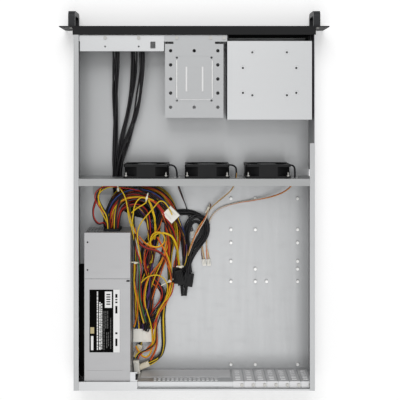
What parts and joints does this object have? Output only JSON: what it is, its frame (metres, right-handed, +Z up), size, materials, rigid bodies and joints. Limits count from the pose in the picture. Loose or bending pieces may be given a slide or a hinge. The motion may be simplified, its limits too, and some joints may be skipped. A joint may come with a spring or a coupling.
{
  "type": "rackmount server case",
  "caption": "Low rackmount server case without its lid, with drive cages, a fan wall, a rear power supply and its cable harness.",
  "frame": {"origin": "middle of the overall footprint, on the underside of the case", "axes": "-Y towards the front panel and its handles, +Z up, +X towards the side that holds the power supply"},
  "size_m": [0.4826, 0.6802, 0.088],
  "materials": {
    "zinc_steel": "galvanised sheet steel, matt",
    "black_steel": "black powder coat",
    "handle_black": "black satin coat",
    "screw_steel": "bright zinc",
    "brass_zinc": "plated",
    "black_plastic": "moulded, matt",
    "board": "green circuit board",
    "board_parts": "moulded",
    "socket_steel": "pressed sheet",
    "clear_plastic": "clear",
    "white_plastic": "natural nylon",
    "label": "film",
    "cable_mixed": "coloured wire insulation",
    "cable_yellow": "yellow wire insulation",
    "cable_black": "black jacket",
    "cable_thin": "thin coloured leads"
  },
  "bodies": {
    "case": {"chassis_tray": "zinc_steel", "front_wall": "zinc_steel", "control_bracket": "zinc_steel", "centre_cage": "zinc_steel", "big_cage": "zinc_steel", "fan_wall": "zinc_steel", "rear_wall": "zinc_steel", "corner_bracket": "zinc_steel", "slot_covers": "zinc_steel", "io_plate": "zinc_steel", "psu_case": "zinc_steel", "psu_lid_front": "zinc_steel", "psu_lid_rear": "zinc_steel", "front_panel": "black_steel", "handle_left": "handle_black", "handle_right": "handle_black", "screws": "screw_steel", "standoffs": "brass_zinc", "bay_cover_lower": "black_plastic", "bay_cover_upper": "black_plastic", "bay_cover_small": "black_plastic", "fan_frame_1": "black_plastic", "fan_frame_2": "black_plastic", "fan_frame_3": "black_plastic", "psu_fan_frame": "black_plastic", "mains_inlet": "black_plastic", "rocker_body": "black_plastic", "sata_plug": "black_plastic", "usb_plug": "black_plastic", "switch_plugs": "black_plastic", "control_board": "board", "psu_board": "board", "board_parts": "board_parts", "usb_sockets": "socket_steel", "light_pipes": "clear_plastic", "psu_grommet": "white_plastic", "atx_plug": "white_plastic", "cpu_plugs": "white_plastic", "molex_plug": "white_plastic", "fan_plugs": "white_plastic", "psu_label": "label", "atx_cable_a": "cable_mixed", "atx_cable_b": "cable_mixed", "cpu_cable": "cable_mixed", "cpu_cable_b": "cable_mixed", "molex_cable": "cable_mixed", "sata_cable": "cable_yellow", "front_usb_cable": "cable_black", "front_panel_cable": "cable_black", "fan_cable_1": "cable_thin", "fan_cable_2": "cable_thin", "fan_cable_3": "cable_thin"},
    "case_fan_1": {"fan_rotor_1": "black_plastic"},
    "case_fan_2": {"fan_rotor_2": "black_plastic"},
    "case_fan_3": {"fan_rotor_3": "black_plastic"},
    "supply_fan": {"psu_fan_rotor": "black_plastic"},
    "power_button": {"power_button": "black_plastic"},
    "reset_button": {"reset_button": "black_plastic"},
    "mains_rocker": {"rocker": "black_plastic"}
  },
  "joints": [
    {"name": "case_fan_1_spin", "type": "hinge", "parent": "case", "child": "case_fan_1", "pos_m": [0.0864, -0.05165, 0.0425], "axis": [0, 1, 0], "continuous": true},
    {"name": "case_fan_2_spin", "type": "hinge", "parent": "case", "child": "case_fan_2", "pos_m": [-0.0231, -0.05165, 0.0425], "axis": [0, 1, 0], "continuous": true},
    {"name": "case_fan_3_spin", "type": "hinge", "parent": "case", "child": "case_fan_3", "pos_m": [-0.1325, -0.05165, 0.0425], "axis": [0, 1, 0], "continuous": true},
    {"name": "supply_fan_spin", "type": "hinge", "parent": "case", "child": "supply_fan", "pos_m": [0.164, 0.32335, 0.038], "axis": [0, 1, 0], "continuous": true},
    {"name": "power_button_press", "type": "slide", "parent": "case", "child": "power_button", "axis": [0, 1, 0], "range_m": [0, 0.002], "stiffness_N_per_m": 400, "springref_m": -0.002},
    {"name": "reset_button_press", "type": "slide", "parent": "case", "child": "reset_button", "axis": [0, 1, 0], "range_m": [0, 0.002], "stiffness_N_per_m": 400, "springref_m": -0.002},
    {"name": "mains_rocker_throw", "type": "hinge", "parent": "case", "child": "mains_rocker", "pos_m": [0.1246, 0.33315, 0.057], "axis": [1, 0, 0], "range_deg": [-24, 0]}
  ]
}
